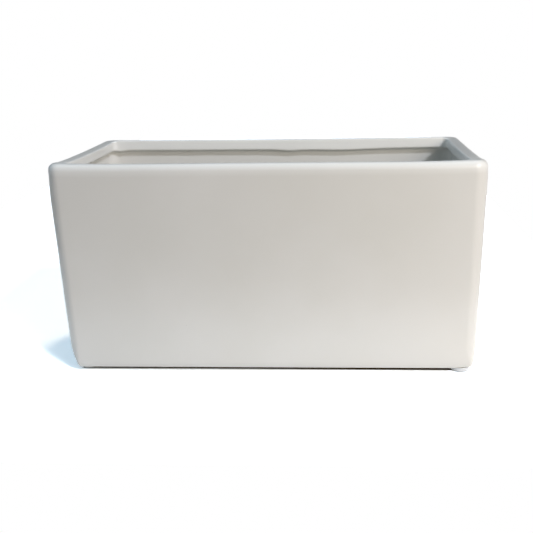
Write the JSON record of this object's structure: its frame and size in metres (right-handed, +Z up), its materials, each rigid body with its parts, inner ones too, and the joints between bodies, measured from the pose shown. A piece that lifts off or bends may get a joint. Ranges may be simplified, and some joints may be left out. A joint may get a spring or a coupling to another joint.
{
  "type": "rectangular planter",
  "caption": "Rectangular glazed ceramic planter with tapered walls, an inward lip round its mouth and a drain hole, standing on clear stick-on bumpers.",
  "frame": {"origin": "on the floor under the centre of the pot, at the level of the bumpers' lower faces", "axes": "+X along the planter's length, +Y to its back, +Z up out of its mouth"},
  "size_m": [0.28, 0.126, 0.1435],
  "materials": {
    "glazed_ceramic": "satin glaze, off-white",
    "clear_bumper": "clear soft polyurethane",
    "adhesive_film": "clear acrylic adhesive"
  },
  "bodies": {
    "root": {"pot_body": "glazed_ceramic", "bumper_front_left": "clear_bumper", "bumper_front_right": "clear_bumper", "bumper_rear_left": "clear_bumper", "bumper_rear_right": "clear_bumper", "adhesive_front_left": "adhesive_film", "adhesive_front_right": "adhesive_film", "adhesive_rear_left": "adhesive_film", "adhesive_rear_right": "adhesive_film"}
  },
  "joints": []
}
